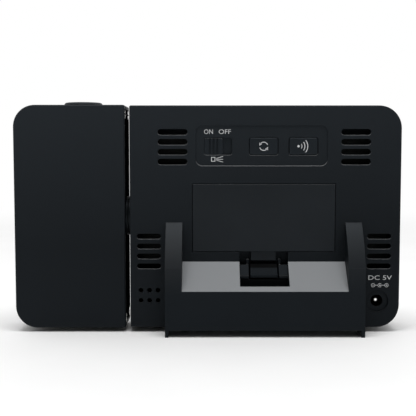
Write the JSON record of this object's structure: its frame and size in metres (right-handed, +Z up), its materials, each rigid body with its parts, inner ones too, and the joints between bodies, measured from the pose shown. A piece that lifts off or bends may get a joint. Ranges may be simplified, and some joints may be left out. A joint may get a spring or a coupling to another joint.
{
  "type": "projection alarm clock",
  "caption": "Slim table alarm clock with a turning projector block on a side hub, rear controls, a battery door with a sprung catch, and a U-shaped stand foot.",
  "frame": {"origin": "centre of the whole clock's box in plan, on the surface it stands on", "axes": "+X from the case to the projector block, +Y out of the rear with the battery door, +Z up"},
  "size_m": [0.2006, 0.039, 0.12],
  "materials": {
    "case_plastic": "fine matt texture",
    "key_plastic": "smooth satin",
    "window": "polished dark",
    "display": "smooth",
    "clear_plastic": "polished",
    "lens_glass": "polished",
    "rubber": "matt",
    "circuit_board": "solder mask",
    "component": "moulded",
    "ferrite": "sintered",
    "cable": "sheathed",
    "plated_metal": "nickel plated",
    "hub_plastic": "satin",
    "aluminium_sink": "anodised",
    "led_plate": "white solder mask"
  },
  "bodies": {
    "clock_case": {"front_frame": "case_plastic", "rear_cover": "case_plastic", "display_window": "window", "lcd_panel": "display", "light_guide": "clear_plastic", "lcd_connector": "rubber", "main_board": "circuit_board", "board_chips": "component", "radio_antenna": "ferrite", "projector_cable": "cable", "battery_plates": "plated_metal", "battery_springs": "plated_metal", "rear_key_board": "circuit_board", "rear_key_switches": "component", "slide_switch_body": "component", "top_key_board": "circuit_board", "top_key_switches": "component", "buzzer": "component", "dc_jack": "component", "dc_jack_pin": "plated_metal", "stand_foot": "case_plastic", "front_feet": "rubber", "board_screws": "plated_metal", "stand_screws": "plated_metal", "case_screws": "plated_metal", "pivot_bush": "hub_plastic", "friction_washer": "plated_metal"},
    "projector_block": {"retaining_ring": "plated_metal", "pivot_shaft": "hub_plastic", "shaft_nut": "hub_plastic", "projector_shell": "case_plastic", "projector_end_cap": "case_plastic", "end_cap_screws": "plated_metal", "lamp_house": "hub_plastic", "projection_led": "led_plate", "led_heat_sink": "aluminium_sink", "condenser_lens": "lens_glass", "projection_lcd": "display", "optics_tube": "hub_plastic", "projector_board": "circuit_board", "projector_chips": "component"},
    "focus_knob": {"focus_ring": "case_plastic"},
    "lens_carrier": {"lens_barrel": "hub_plastic", "projection_lens": "lens_glass"},
    "projection_switch": {"projection_switch_knob": "key_plastic"},
    "flip_key": {"flip_button": "key_plastic"},
    "wave_key": {"wave_button": "key_plastic"},
    "door": {"battery_door": "case_plastic"},
    "latch": {"door_latch": "case_plastic"},
    "snooze": {"snooze_bar": "key_plastic"},
    "mode": {"mode_key": "key_plastic"},
    "up": {"up_key": "key_plastic"},
    "down": {"down_key": "key_plastic"},
    "alarm": {"alarm_key": "key_plastic"}
  },
  "joints": [
    {"name": "projector_turn", "type": "hinge", "parent": "clock_case", "child": "projector_block", "pos_m": [0.04155, -0.0065, 0.0603], "axis": [1, 0, 0], "range_deg": [-90, 90]},
    {"name": "focus_turn", "type": "hinge", "parent": "projector_block", "child": "focus_knob", "pos_m": [0.0656, -0.0065, 0.1184], "axis": [0, 0, 1], "range_deg": [0, 270]},
    {"name": "lens_focus", "type": "slide", "parent": "projector_block", "child": "lens_carrier", "axis": [0, 0, -1], "range_m": [0, 0.003]},
    {"name": "projection_switch_slide", "type": "slide", "parent": "clock_case", "child": "projection_switch", "axis": [-1, 0, 0], "range_m": [0, 0.0043]},
    {"name": "flip_press", "type": "slide", "parent": "clock_case", "child": "flip_key", "axis": [0, -1, 0], "range_m": [0, 0.0005], "stiffness_N_per_m": 300, "springref_m": -0.001},
    {"name": "wave_press", "type": "slide", "parent": "clock_case", "child": "wave_key", "axis": [0, -1, 0], "range_m": [0, 0.0005], "stiffness_N_per_m": 300, "springref_m": -0.001},
    {"name": "battery_door_swing", "type": "hinge", "parent": "clock_case", "child": "door", "pos_m": [-0.0293, 0.0065, 0.0776], "axis": [1, 0, 0], "range_deg": [0, 75]},
    {"name": "latch_press", "type": "slide", "parent": "door", "child": "latch", "axis": [0, 0, 1], "range_m": [0, 0.001], "stiffness_N_per_m": 300, "springref_m": -0.001},
    {"name": "snooze_press", "type": "slide", "parent": "clock_case", "child": "snooze", "axis": [0, 0, -1], "range_m": [0, 0.0005], "stiffness_N_per_m": 300, "springref_m": -0.001},
    {"name": "mode_press", "type": "slide", "parent": "clock_case", "child": "mode", "axis": [0, 0, -1], "range_m": [0, 0.0005], "stiffness_N_per_m": 300, "springref_m": -0.001},
    {"name": "up_press", "type": "slide", "parent": "clock_case", "child": "up", "axis": [0, 0, -1], "range_m": [0, 0.0005], "stiffness_N_per_m": 300, "springref_m": -0.001},
    {"name": "down_press", "type": "slide", "parent": "clock_case", "child": "down", "axis": [0, 0, -1], "range_m": [0, 0.0005], "stiffness_N_per_m": 300, "springref_m": -0.001},
    {"name": "alarm_press", "type": "slide", "parent": "clock_case", "child": "alarm", "axis": [0, 0, -1], "range_m": [0, 0.0005], "stiffness_N_per_m": 300, "springref_m": -0.001}
  ],
  "couplings": [
    {"joint": "focus_turn", "follows": "lens_focus", "rad_per_m": 1570.8}
  ]
}
